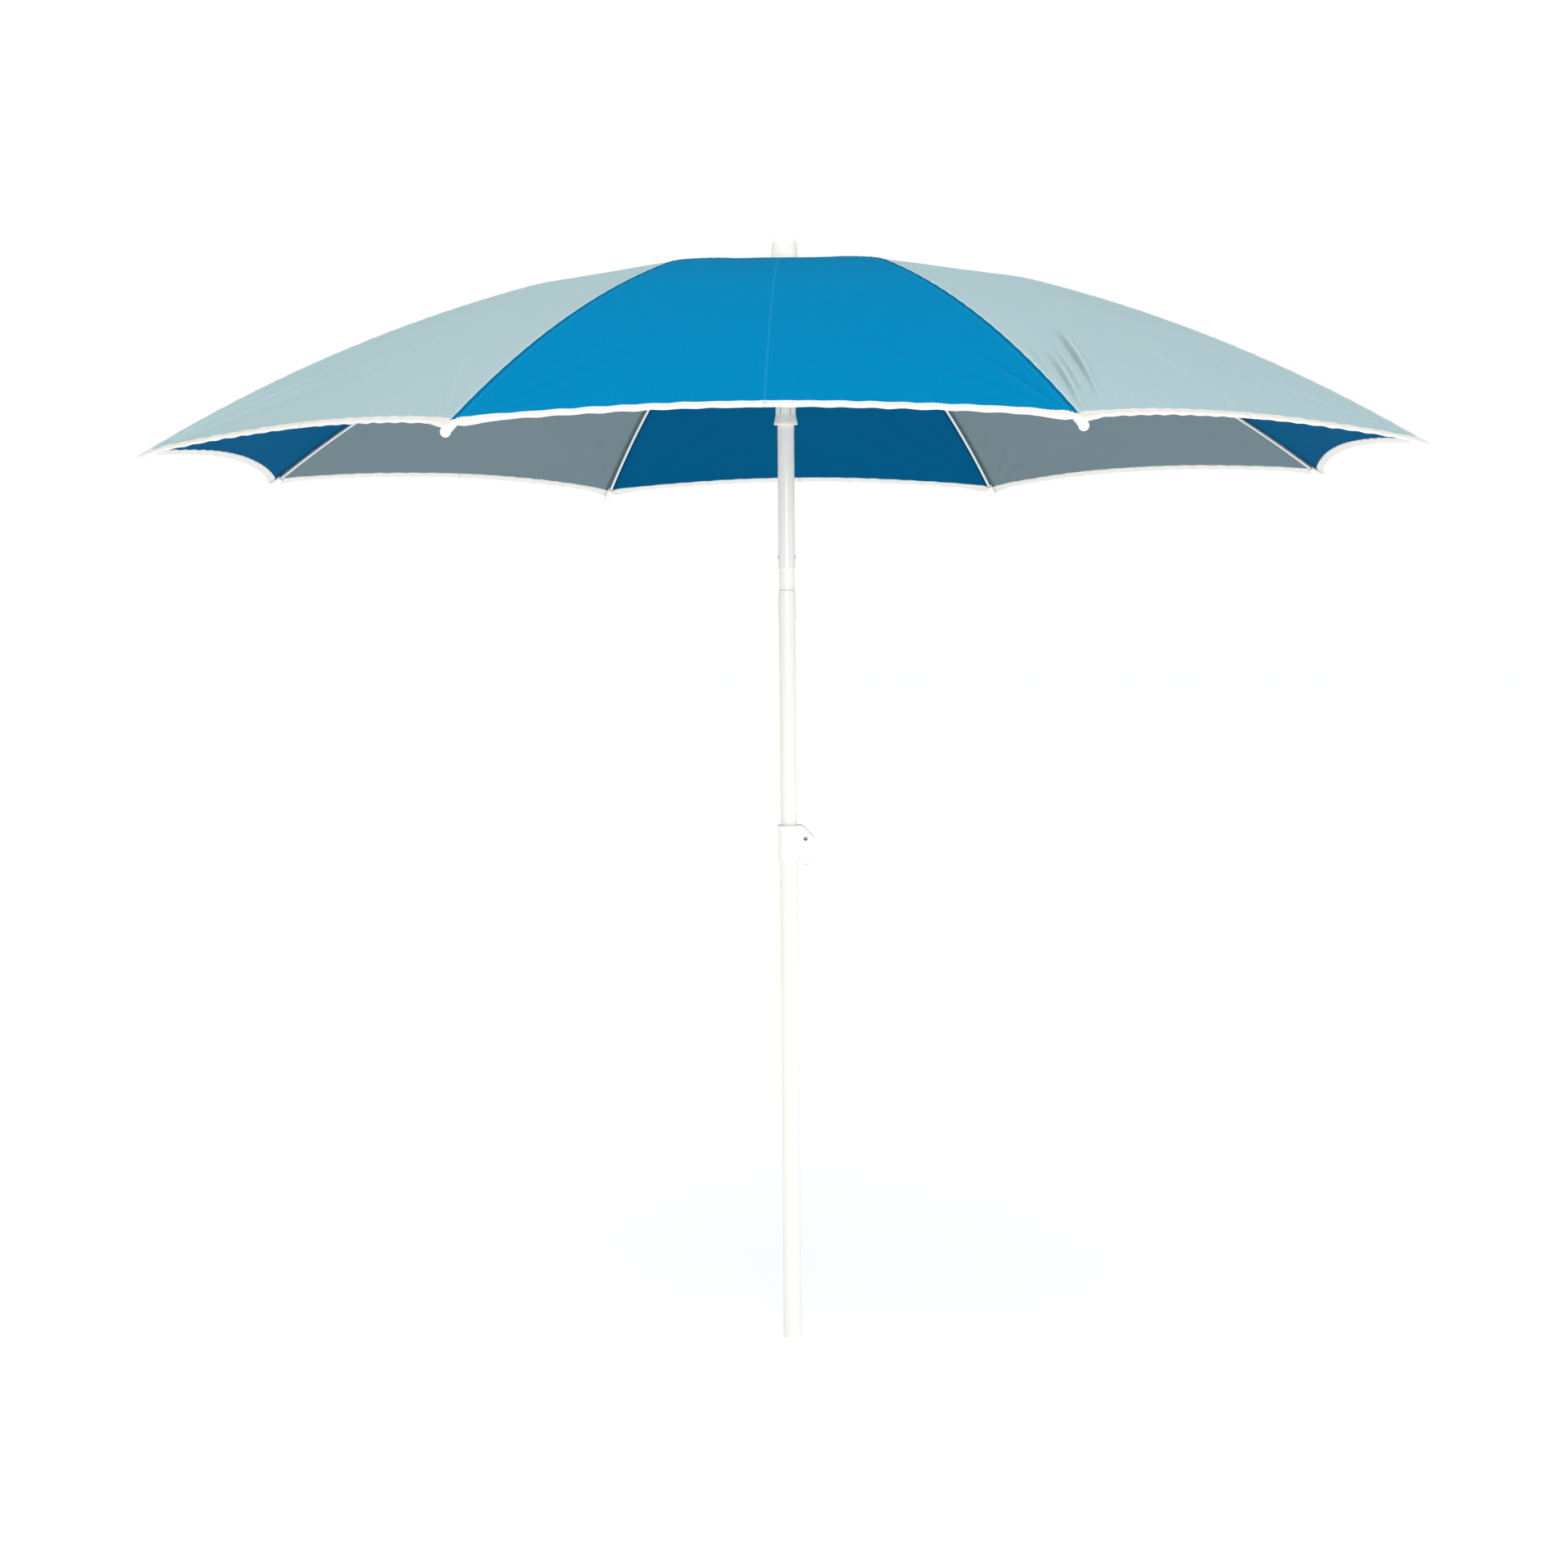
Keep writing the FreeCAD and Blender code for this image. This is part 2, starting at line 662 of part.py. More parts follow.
def runner_and_catch():
    """The sliding runner with its wire, and the sprung catch that holds it up."""
    bottom = size("runner_bottom")
    length = f"{RUNNER - bottom} + runner_flange_height / 2"
    runner = turned(
        "slider",
        [
            ("runner_bore_radius", "0"),
            ("runner_skirt_radius", "0"),
            ("runner_skirt_radius", "runner_skirt_height"),
            ("runner_barrel_radius", "runner_flare_height"),
            ("runner_barrel_radius", f"{length} - runner_flange_height"),
            ("crown_radius", f"{length} - runner_flange_height"),
            ("crown_radius", length),
            ("runner_bore_radius", length),
        ],
    )
    lift(runner, "runner_bottom")
    flange_half = size("runner_flange_height") / 2
    slots = radial_slots("runner_slot", RUNNER - flange_half - OVERRUN, RUNNER + flange_half + OVERRUN)
    groove = wire_ring("runner_groove", RUNNER, "wire_radius + groove_play")
    slit_bottom = bottom + size("runner_flare_height") + size("slit_rise")
    slit_top = slit_bottom + size("slit_height")
    slit_half = size("slit_width") / 2
    slits = [
        spoke(f"slit_{i + 1}", 360 / SLITS * i, 0, slit_half, slit_bottom, slit_top)
        for i in range(SLITS)
    ]
    name_part(cut("runner_cut", runner, *slots, *slits, groove), "runner")
    name_part(wire_ring("runner_ring", RUNNER), "runner_wire")

    pivot = size("catch_pivot_height")
    reach = size("catch_pivot_reach")
    edge = [
        (reach - 1.8, pivot - 3),
        (reach + 1.6, pivot - 3),
        (reach + 1.6, pivot + 4),
        (size("catch_reach"), size("catch_top") - 2),
        (size("catch_reach"), size("catch_top")),
        (reach, size("catch_top")),
    ]
    arm = plate("catch_arm", edge, size("catch_half_width"))
    bore_start = V(-size("catch_axle_length") / 2, reach, pivot)
    bore = cylinder("catch_arm_bore", "wire_radius + pin_play", "catch_axle_length", bore_start, V(1, 0, 0))
    name_part(cut("catch_cut", arm, bore), "runner_catch")


def rib_parts():
    """One rib's inner and outer rods, bracket, tip and stretcher, lying along +X."""
    start = (PIVOT, CROWN)
    middle = (size("rib_mid_reach"), size("rib_mid_height"))
    end = (size("rib_end_reach"), size("rib_end_height"))
    rod = arc_rod("inner_rod", start, middle, end, "rod_radius")
    eye = cross_pin("rib_eye", "eye_radius", "eye_half_width", PIVOT, CROWN)
    eye_hole = cross_pin("rib_eye_hole", "eye_hole_radius", "crown_radius", PIVOT, CROWN)
    half = size("bracket_length") / 2
    rod_height = BRACKET[1] + size("bracket_rise")
    foot_height = BRACKET[1] - size("bracket_drop")
    outer_half = size("bracket_outer_half_width")
    inner_half = size("bracket_inner_half_width")
    wall = size("bracket_wall")
    shell = block(
        "bracket_block",
        (BRACKET[0] - half, -outer_half, foot_height),
        (BRACKET[0] + half / 2, outer_half, rod_height + size("bracket_cap")),
    )
    bridge_low = rod_height - size("rod_radius") - 1.5 * wall
    channel = block(
        "bracket_channel",
        (BRACKET[0] - 2 * half, -inner_half, foot_height - OVERRUN),
        (BRACKET[0] + half, inner_half, bridge_low),
    )
    corner = block(
        "bracket_corner",
        (BRACKET[0] - 2 * half, -outer_half - OVERRUN, foot_height - OVERRUN),
        (BRACKET[0] - half / 2, outer_half + OVERRUN, bridge_low),
    )
    rivet_bore = cross_pin("bracket_bore", "bracket_rivet_radius", "crown_radius", *BRACKET)
    rod_space = arc_rod("rod_space", start, middle, end, "rod_radius")
    bracket = cut("bracket", shell, channel, corner, rivet_bore, rod_space)
    rivet_half = "bracket_outer_half_width + bracket_rivet_stand"
    rivet = cross_pin("bracket_rivet", "bracket_rivet_radius", rivet_half, *BRACKET)
    pierced_rod = cut("inner_rod_cut", fuse("inner_rod_body", rod, eye), eye_hole)
    inner = group("inner_group", pierced_rod, bracket, rivet)

    slope = math.atan2(middle[1] - end[1], end[0] - middle[0])
    gap = size("flex_gap")
    flex = (end[0] + gap * math.cos(slope), end[1] - gap * math.sin(slope))
    outer_middle = (size("outer_mid_reach"), size("outer_mid_height"))
    tip = (size("tip_reach"), size("tip_height"))
    outer_rod = arc_rod("outer_rod", flex, outer_middle, tip, "rod_radius")
    knuckle = cross_pin("flex_end", "rod_radius", "eye_half_width", *flex)
    outer = fuse("outer_body", outer_rod, knuckle)

    curve = Part.ArcOfCircle(*(V(reach, 0, height) for reach, height in (flex, outer_middle, tip)))
    along = curve.tangent(curve.LastParameter)[0]
    if along.x > 0:
        along = along * -1
    sleeve = cylinder("tip_sleeve", "tip_sleeve_radius", "tip_sleeve_length", V(tip[0], 0, tip[1]), along)
    ball = bind(doc.addObject("Part::Sphere", "tip_ball"), Radius="tip_ball_radius")
    ball.Placement.Base = V(tip[0], 0, tip[1])
    socket = arc_rod("tip_socket", flex, outer_middle, tip, "rod_radius")
    tip_piece = cut("tip_cut", fuse("tip_body", sleeve, ball), socket)

    run = V(BRACKET[0] - PIVOT, 0, BRACKET[1] - RUNNER)
    bar = cylinder("stretcher_bar", "stretcher_radius", "link_length", V(PIVOT, 0, RUNNER), run.normalize())
    ends = [
        cross_pin("stretcher_eye_inner", "eye_radius", "eye_half_width", PIVOT, RUNNER),
        cross_pin("stretcher_eye_outer", "eye_radius", "eye_half_width", *BRACKET),
    ]
    holes = [
        cross_pin("stretcher_hole_inner", "eye_hole_radius", "crown_radius", PIVOT, RUNNER),
        cross_pin("stretcher_hole_outer", "bracket_rivet_radius + pin_play", "crown_radius", *BRACKET),
    ]
    stretcher = cut("stretcher_cut", fuse("stretcher_body", bar, *ends), *holes)
    return {"rib_inner": inner, "rib_outer": outer, "rib_tip": tip_piece, "stretcher": stretcher}


def fabric_profile(offset):
    """The fabric's five profile points in a panel's middle plane, moved up by offset."""
    shrink = math.cos(math.radians(HALF_SECTOR))
    points = [
        ("fabric_inner_reach", "fabric_inner_height"),
        ("rib_mid_reach", "fabric_mid_height"),
        ("fabric_bend_reach", "fabric_bend_height"),
        ("outer_mid_reach", "fabric_outer_mid_height"),
        ("fabric_rim_reach", "fabric_rim_height"),
    ]
    return [V(size(reach) * shrink, 0, size(height) + offset) for reach, height in points]


def canopy_sector():
    """The fabric over one rib: two half panels of straight chords, with a scalloped rim."""
    half = size("fabric_thickness") / 2
    upper = fabric_profile(half)
    lower = fabric_profile(-half)
    edges = [
        Part.ArcOfCircle(upper[0], upper[1], upper[2]).toShape(),
        Part.ArcOfCircle(upper[2], upper[3], upper[4]).toShape(),
        Part.makeLine(upper[4], lower[4]),
        Part.ArcOfCircle(lower[4], lower[3], lower[2]).toShape(),
        Part.ArcOfCircle(lower[2], lower[1], lower[0]).toShape(),
        Part.makeLine(lower[0], upper[0]),
    ]
    profile = doc.addObject("Part::Feature", "fabric_profile")
    profile.Shape = Part.Face(Part.Wire(edges))
    sheet_block = doc.addObject("Part::Extrusion", "fabric_chords")
    sheet_block.Base = profile
    sheet_block.DirMode = "Custom"
    sheet_block.Dir = V(0, -1, 0)
    sheet_block.LengthFwd = size("fabric_rim_reach") / 2
    sheet_block.Solid = True

    slope = math.tan(math.radians(HALF_SECTOR))
    rim = size("fabric_rim_reach") * math.cos(math.radians(HALF_SECTOR))
    inner = size("fabric_inner_reach") * math.cos(math.radians(HALF_SECTOR))
    crease = -size("crease_gap")
    depth = size("scallop_depth")
    corner = V(rim, -rim * slope, 0)
    middle = V(rim - depth, 0, 0)
    halfway_depth = depth * (1 - 0.5**2)
    quarter = V(rim - halfway_depth, -rim * slope / 2, 0)
    scallop = Part.ArcOfCircle(middle, quarter, corner)
    start = scallop.value(scallop.parameter(V(rim - depth, crease, 0)))
    edges = [
        Part.makeLine(V(inner, crease, 0), start),
        Part.ArcOfCircle(start, quarter, corner).toShape(),
        Part.makeLine(corner, V(inner, -inner * slope, 0)),
        Part.makeLine(V(inner, -inner * slope, 0), V(inner, crease, 0)),
    ]
    plan = doc.addObject("Part::Feature", "half_panel_plan")
    plan.Shape = Part.Face(Part.Wire(edges))
    column = doc.addObject("Part::Extrusion", "half_panel_column")
    column.Base = plan
    column.DirMode = "Custom"
    column.Dir = V(0, 0, 1)
    column.LengthFwd = 2 * CROWN
    column.Solid = True

    half_panel = doc.addObject("Part::Common", "half_panel")
    half_panel.Base = sheet_block
    half_panel.Tool = column
    half_panel.Placement.Rotation = FreeCAD.Rotation(V(0, 0, 1), HALF_SECTOR)
    other = doc.addObject("Part::Mirroring", "other_half_panel")
    other.Source = half_panel
    other.Normal = V(0, 1, 0)
    return fuse("sector", half_panel, other)


pole_and_clamp()
mast_and_tilt()
canopy_tube_and_crown()
runner_and_catch()
per_rib = rib_parts()
per_rib["canopy"] = canopy_sector()
for rib in range(RIBS):
    for stem, piece in per_rib.items():
        label = f"{stem}_{rib + 1}"
        name_part(around(piece, label + "_copy", rib), label)

doc.recompute()
for thing in doc.Objects:
    assert not {"Invalid", "Error"} & set(thing.State), f"{thing.Name} failed: {thing.State}"
for thing in SUB_PARTS:
    assert not thing.Shape.isNull() and thing.Shape.isValid(), f"{thing.Label} has no valid shape"
    assert thing.Shape.Solids, f"{thing.Label} holds no solid"

os.makedirs("parts", exist_ok=True)
for thing in SUB_PARTS:
    thing.Shape.exportStep(f"parts/{thing.Label}.step")
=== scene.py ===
"""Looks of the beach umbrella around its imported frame: cloth, hem tape, seams and materials."""
import json
import math
import random

import bpy
import bmesh
from mathutils import Matrix, Vector


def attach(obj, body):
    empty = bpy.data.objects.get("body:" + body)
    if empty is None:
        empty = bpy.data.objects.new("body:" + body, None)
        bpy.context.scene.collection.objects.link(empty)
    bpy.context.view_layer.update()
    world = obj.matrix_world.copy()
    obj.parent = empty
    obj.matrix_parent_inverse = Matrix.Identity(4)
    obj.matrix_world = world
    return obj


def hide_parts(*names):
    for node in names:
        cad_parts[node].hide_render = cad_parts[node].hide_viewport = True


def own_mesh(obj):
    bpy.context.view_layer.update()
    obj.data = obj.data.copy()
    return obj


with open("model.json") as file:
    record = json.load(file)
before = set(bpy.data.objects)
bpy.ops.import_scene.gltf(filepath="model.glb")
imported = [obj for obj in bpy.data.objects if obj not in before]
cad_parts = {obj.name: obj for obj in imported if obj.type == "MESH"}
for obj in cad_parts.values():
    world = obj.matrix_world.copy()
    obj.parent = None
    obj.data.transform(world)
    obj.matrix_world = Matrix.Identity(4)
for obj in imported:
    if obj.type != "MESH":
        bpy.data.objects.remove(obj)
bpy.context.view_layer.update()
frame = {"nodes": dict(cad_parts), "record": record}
NODES = frame["nodes"]

# ---- the umbrella's layout, in metres ---------------------------------------------------
RIBS = 8
SECTOR = 2 * math.pi / RIBS
HALF = SECTOR / 2
SHRINK = math.cos(HALF)
SPREAD = math.tan(HALF)

# the line of the cloth over a rib: (reach from the pole, height)
CLOTH_INNER = ((0.016, 1.4402), (0.170, 1.4277), (0.326, 1.4050))
CLOTH_OUTER = ((0.326, 1.4050), (0.581, 1.3126), (0.829, 1.1805))
BEND_REACH = CLOTH_OUTER[0][0]
RIM_REACH = CLOTH_OUTER[2][0]
BEND_SOFTNESS = 0.022
CENTRE_HOLE = 0.0085
SCALLOP_DEPTH = 0.024
CLOTH_THICKNESS = 0.0005
TAPE_WIDTH = 0.0078
SEAM_ALLOWANCE = 0.008

# a panel's middle lies nearer to the pole than its ribs do
BEND_MIDDLE = BEND_REACH * SHRINK
RIM_MIDDLE = RIM_REACH * SHRINK
HALF_RIM = RIM_MIDDLE * SPREAD  # from a panel's middle to its rib's tip

# how a folding piece gathers: outwards by the first, keeping the second of its width
OUTER_FOLD = (0.22, 0.12)
INNER_FOLD = (0.10, 0.15)

BLUE_PANELS = (0, 2, 4, 6)


# ---- camera, light and floor ------------------------------------------------------------
def camera():
    """The studio camera, a little below the canopy's rim."""
    data = bpy.data.cameras.new("camera")
    data.sensor_width = 36
    data.lens = 53.88
    data.clip_end = 50
    obj = bpy.data.objects.new("camera", data)
    bpy.context.scene.collection.objects.link(obj)
    distance, height = 3.1317, 0.9999
    turn = 0.0292  # round the pole
    aside, down, tilt = 0.0019, 0.0778, -0.0077  # how it looks past the pole, down and askew
    place = Matrix.Translation((distance * math.sin(turn), -distance * math.cos(turn), height))
    yaw = Matrix.Rotation(aside + turn, 4, "Z")
    pitch = Matrix.Rotation(math.pi / 2 - down, 4, "X")
    roll = Matrix.Rotation(tilt, 4, "Z")
    obj.matrix_world = place @ yaw @ pitch @ roll
    bpy.context.scene.camera = obj


def area_light(name, place, target, side, power, colour=(1, 1, 1)):
    data = bpy.data.lights.new(name, "AREA")
    data.size = side
    data.energy = power
    data.color = colour
    obj = bpy.data.objects.new(name, data)
    obj.location = place
    aim = Vector(target) - Vector(place)
    obj.rotation_euler = aim.to_track_quat("-Z", "Y").to_euler()
    bpy.context.scene.collection.objects.link(obj)


def studio():
    """A white room: soft sky, three large lamps and a pale floor."""
    world = bpy.data.worlds.new("studio")
    bpy.context.scene.world = world
    world.use_nodes = True
    tree = world.node_tree
    tree.nodes.clear()
    output = tree.nodes.new("ShaderNodeOutputWorld")
    mix = tree.nodes.new("ShaderNodeMixShader")
    path = tree.nodes.new("ShaderNodeLightPath")
    glow = tree.nodes.new("ShaderNodeBackground")
    glow.inputs["Color"].default_value = (0.97, 0.985, 1.0, 1)
    glow.inputs["Strength"].default_value = 0.66
    seen = tree.nodes.new("ShaderNodeBackground")
    seen.inputs["Color"].default_value = (1, 1, 1, 1)
    seen.inputs["Strength"].default_value = 1.02
    tree.links.new(path.outputs["Is Camera Ray"], mix.inputs[0])
    tree.links.new(glow.outputs[0], mix.inputs[1])
    tree.links.new(seen.outputs[0], mix.inputs[2])
    tree.links.new(mix.outputs[0], output.inputs["Surface"])

    area_light("key", (-1.1, -1.9, 4.9), (0, 0, 1.2), 2.6, 82, (1.0, 0.985, 0.96))
    area_light("fill", (3.2, -1.6, 2.2), (0, 0, 1.0), 2.4, 22, (0.97, 0.99, 1.0))
    area_light("front", (0.3, -3.8, 1.25), (0, 0, 1.0), 1.4, 43, (1.0, 0.985, 0.955))

    backdrop()
    bpy.context.scene.view_settings.view_transform = "Standard"


def backdrop():
    """A pale floor far wider than the view, with a soft glow of its own so that it reads white."""
    mesh = bpy.data.meshes.new("floor")
    reach = 30
    corners = [(-reach, -reach, 0), (reach, -reach, 0), (reach, reach, 0), (-reach, reach, 0)]
    mesh.from_pydata(corners, [], [(0, 1, 2, 3)])
    floor = bpy.data.objects.new("floor", mesh)
    bpy.context.scene.collection.objects.link(floor)
    paint = bpy.data.materials.new("floor_paint")
    paint.use_nodes = True
    shader = paint.node_tree.nodes["Principled BSDF"]
    shader.inputs["Base Color"].default_value = (0.93, 0.93, 0.93, 1)
    shader.inputs["Roughness"].default_value = 0.9
    shader.inputs["Specular IOR Level"].default_value = 0.1
    shader.inputs["Emission Color"].default_value = (1, 1, 1, 1)
    shader.inputs["Emission Strength"].default_value = 0.40
    mesh.materials.append(paint)


# ---- small node-tree helpers ------------------------------------------------------------
class Nodes:
    """A material's node tree with short ways to add and join nodes."""

    def __init__(self, name):
        self.material = bpy.data.materials.new(name)
        self.material.use_nodes = True
        self.tree = self.material.node_tree
        self.shader = self.tree.nodes["Principled BSDF"]

    def add(self, kind, **settings):
        node = self.tree.nodes.new("ShaderNode" + kind)
        for key, setting in settings.items():
            setattr(node, key, setting)
        return node

    def link(self, source, target):
        self.tree.links.new(source, target)

    def feed(self, socket, source):
        """Join a socket to a number, a colour or another node's output."""
        if isinstance(source, bpy.types.NodeSocket):
            self.link(source, socket)
        else:
            socket.default_value = source

    def math(self, operation, first, second=0.5, clamp=False):
        node = self.add("Math", operation=operation, use_clamp=clamp)
        for socket, source in zip(node.inputs, (first, second)):
            self.feed(socket, source)
        return node.outputs[0]

    def mix(self, share, first, second, blend="MIX"):
        node = self.add("Mix", data_type="RGBA", blend_type=blend)
        self.feed(node.inputs[0], share)
        self.feed(node.inputs[6], first)
        self.feed(node.inputs[7], second)
        return node.outputs[2]

    def noise(self, vector, scale, detail=2.0, roughness=0.5):
        node = self.add("TexNoise")
        self.link(vector, node.inputs["Vector"])
        node.inputs["Scale"].default_value = scale
        node.inputs["Detail"].default_value = detail
        node.inputs["Roughness"].default_value = roughness
        return node.outputs["Fac"]

    def wave(self, vector, scale, direction):
        node = self.add("TexWave", bands_direction=direction)
        self.link(vector, node.inputs["Vector"])
        node.inputs["Scale"].default_value = scale
        node.inputs["Distortion"].default_value = 0.6
        node.inputs["Detail"].default_value = 1
        return node.outputs["Fac"]

    def band(self, value, centre, width):
        """1 at the centre of a line, falling to 0 at its half width."""
        away = self.math("ABSOLUTE", self.math("SUBTRACT", value, centre))
        return self.math("SUBTRACT", 1.0, self.math("DIVIDE", away, width), clamp=True)

    def crown(self, distance, reach=0.42):
        """1 at the pole, falling to 0 well down the cloth."""
        return self.math("SUBTRACT", 1.0, self.math("DIVIDE", distance, reach), clamp=True)

    def bump(self, height, strength, distance):
        node = self.add("Bump")
        node.inputs["Strength"].default_value = strength
        node.inputs["Distance"].default_value = distance
        self.link(height, node.inputs["Height"])
        self.link(node.outputs[0], self.shader.inputs["Normal"])

    def uv(self, name):
        node = self.add("UVMap", uv_map=name)
        split = self.add("SeparateXYZ")
        self.link(node.outputs[0], split.inputs[0])
        return node.outputs[0], split.outputs[0], split.outputs[1]


def shade(colour, factor):
    return tuple(channel * factor for channel in colour[:3]) + (1,)


# ---- materials --------------------------------------------------------------------------
WEAVE = 420  # the scale of the cloth's warp and weft
WEAVE_DEPTH = 0.0003
GRAIN_DEPTH = 0.0002
CREASE_WIDTH = 0.0016
STITCH_ROW_WIDTH = 0.0008


def cloth_material(name, colour, pale, painted_crown_tone, seam_colour, seam_share):
    """Woven polyester: fine weave, faint clouding, a pressed crease and a lighter seam edge, with a
    painted crown tone (painted shade on the blue, painted light on the grey) and painted shadow and
    highlight along the pulled folds.
    """
    n = Nodes(name)
    panel, across, along = n.uv("panel")
    _, from_rib, _ = n.uv("seam")
    clouds = n.noise(panel, 9, 3)
    flecks = n.noise(panel, 520, 3, 0.8)
    slubs = n.math("MULTIPLY", n.math("SUBTRACT", flecks, 0.42, clamp=True), 3.0, clamp=True)
    base = n.mix(n.math("MULTIPLY", clouds, 0.35), shade(colour, 0.93), shade(colour, 0.82))
    # painted shade near the pole: the cloth turns towards the crown colour, darker on the blue cloth and a
    # little lighter, as painted light, on the grey
    base = n.mix(n.math("MULTIPLY", n.crown(along), 0.9), base, painted_crown_tone)
    base = n.mix(n.math("MULTIPLY", slubs, 0.5), base, n.mix(1.0, base, (1.42, 1.42, 1.42, 1), "MULTIPLY"))
    # painted shadow in the pulled folds' hollows and painted highlight along their ridges
    _, fold_shadow, fold_highlight = n.uv("fold")
    base = n.mix(n.math("MULTIPLY", fold_shadow, 0.75), base, shade(colour, 0.5))
    base = n.mix(n.math("MULTIPLY", fold_highlight, 0.4), base, pale)
    crease = n.band(across, 0.0, CREASE_WIDTH)
    base = n.mix(n.math("MULTIPLY", crease, 0.28), base, pale)
    edge = n.math("LESS_THAN", from_rib, SEAM_ALLOWANCE * 0.45)
    base = n.mix(n.math("MULTIPLY", edge, seam_share), base, seam_colour)
    stitch_row = n.band(from_rib, SEAM_ALLOWANCE * 0.9, STITCH_ROW_WIDTH)
    base = n.mix(n.math("MULTIPLY", stitch_row, 0.25), base, pale)
    n.link(base, n.shader.inputs["Base Color"])
    warp = n.wave(panel, WEAVE, "X")
    weft = n.wave(panel, WEAVE, "Y")
    weave = n.math("ADD", n.math("MULTIPLY", warp, 0.5), n.math("MULTIPLY", weft, 0.5))
    n.bump(n.math("ADD", weave, n.math("MULTIPLY", flecks, 0.7)), 0.25, WEAVE_DEPTH)
    n.shader.inputs["Roughness"].default_value = 0.62
    n.shader.inputs["Specular IOR Level"].default_value = 0.004
    return n.material


def underside_material(name, colour):
    """The same cloth from below, in a darker colour of painted shade, and darker still where the seam
    allowances double it.
    """
    n = Nodes(name)
    panel, _, _ = n.uv("panel")
    _, from_rib, _ = n.uv("seam")
    clouds = n.noise(panel, 7, 3)
    flecks = n.noise(panel, 900, 2, 0.7)
    base = n.mix(n.math("MULTIPLY", clouds, 0.4), shade(colour, 1.0), shade(colour, 0.84))
    base = n.mix(n.math("MULTIPLY", flecks, 0.18), base, shade(colour, 1.35))
    doubled = n.math("LESS_THAN", from_rib, SEAM_ALLOWANCE)
    base = n.mix(n.math("MULTIPLY", doubled, 0.55), base, shade(colour, 0.5))
    n.link(base, n.shader.inputs["Base Color"])
    warp = n.wave(panel, WEAVE, "X")
    weft = n.wave(panel, WEAVE, "Y")
    n.bump(n.math("ADD", warp, weft), 0.2, WEAVE_DEPTH)
    n.shader.inputs["Roughness"].default_value = 0.8
    n.shader.inputs["Specular IOR Level"].default_value = 0.01
    return n.material


def tape_material():
    """White binding tape: ribbed weave, bright edges and a stitched middle drawn duller as painted shade.
    """
    n = Nodes("hem_tape")
    tape, _, across = n.uv("tape")
    shaded_middle = n.band(across, TAPE_WIDTH * 0.5, TAPE_WIDTH * 0.34)
    ribs = n.wave(tape, 260, "X")
    dirt = n.noise(tape, 60, 3)
    row = n.band(across, TAPE_WIDTH * 0.22, 0.0007)
    pricks = n.math("GREATER_THAN", n.wave(tape, 87, "X"), 0.72)
    # painted shade along the tape's middle, in the dip between its puffed edges
    base = n.mix(n.math("MULTIPLY", shaded_middle, 0.6), (0.80, 0.785, 0.76, 1), (0.62, 0.585, 0.53, 1))
    base = n.mix(n.math("MULTIPLY", dirt, 0.3), base, (0.6, 0.59, 0.55, 1))
    base = n.mix(n.math("MULTIPLY", n.math("MULTIPLY", row, pricks), 0.7), base, (0.30, 0.28, 0.25, 1))
    n.link(base, n.shader.inputs["Base Color"])
    n.bump(ribs, 0.35, WEAVE_DEPTH)
    n.shader.inputs["Roughness"].default_value = 0.8
    n.shader.inputs["Specular IOR Level"].default_value = 0.2
    return n.material


def thread_material():
    """Twisted white sewing thread."""
    n = Nodes("thread")
    place = n.add("TexCoord").outputs["Object"]
    twist = n.wave(place, 900, "DIAGONAL")
    n.link(n.mix(twist, (0.9, 0.9, 0.88, 1), (0.72, 0.71, 0.68, 1)), n.shader.inputs["Base Color"])
    n.bump(twist, 0.3, GRAIN_DEPTH)
    n.shader.inputs["Roughness"].default_value = 0.7
    return n.material


def paint_material(name, colour, roughness):
    """Baked gloss paint with slight orange peel and a few dull scuffs."""
    n = Nodes(name)
    place = n.add("TexCoord").outputs["Object"]
    peel = n.noise(place, 420, 2)
    scuffs = n.noise(place, 26, 5, 0.65)
    worn = n.math("MULTIPLY", n.math("SUBTRACT", scuffs, 0.62, clamp=True), 1.6)
    n.link(n.mix(worn, colour, shade(colour, 0.86)), n.shader.inputs["Base Color"])
    n.link(n.math("ADD", n.math("MULTIPLY", scuffs, 0.12), roughness - 0.06), n.shader.inputs["Roughness"])
    n.bump(peel, 0.06, GRAIN_DEPTH)
    n.shader.inputs["Coat Weight"].default_value = 0.35
    n.shader.inputs["Coat Roughness"].default_value = 0.08
    return n.material


def plastic_material(name, colour, roughness):
    """Moulded white plastic with a fine satin grain."""
    n = Nodes(name)
    place = n.add("TexCoord").outputs["Object"]
    grain = n.noise(place, 1300, 2, 0.6)
    flow = n.noise(place, 35, 3)
    n.link(n.mix(n.math("MULTIPLY", flow, 0.2), colour, shade(colour, 0.9)), n.shader.inputs["Base Color"])
    n.link(n.math("ADD", n.math("MULTIPLY", grain, 0.14), roughness - 0.07), n.shader.inputs["Roughness"])
    n.bump(grain, 0.08, GRAIN_DEPTH)
    n.shader.inputs["Subsurface Weight"].default_value = 0.06
    n.shader.inputs["Subsurface Scale"].default_value = 0.004
    return n.material


def steel_material(name, colour, roughness, metallic):
    """Drawn wire or turned steel, with fine streaks."""
    n = Nodes(name)
    place = n.add("TexCoord").outputs["Object"]
    stretch = n.add("Mapping")
    stretch.inputs["Scale"].default_value = (1, 1, 8)
    n.link(place, stretch.inputs["Vector"])
    streaks = n.noise(stretch.outputs[0], 240, 4, 0.6)
    n.link(n.mix(streaks, shade(colour, 0.85), shade(colour, 1.12)), n.shader.inputs["Base Color"])
    n.link(n.math("ADD", n.math("MULTIPLY", streaks, 0.2), roughness - 0.1), n.shader.inputs["Roughness"])
    n.bump(streaks, 0.1, GRAIN_DEPTH)
    n.shader.inputs["Metallic"].default_value = metallic
    return n.material


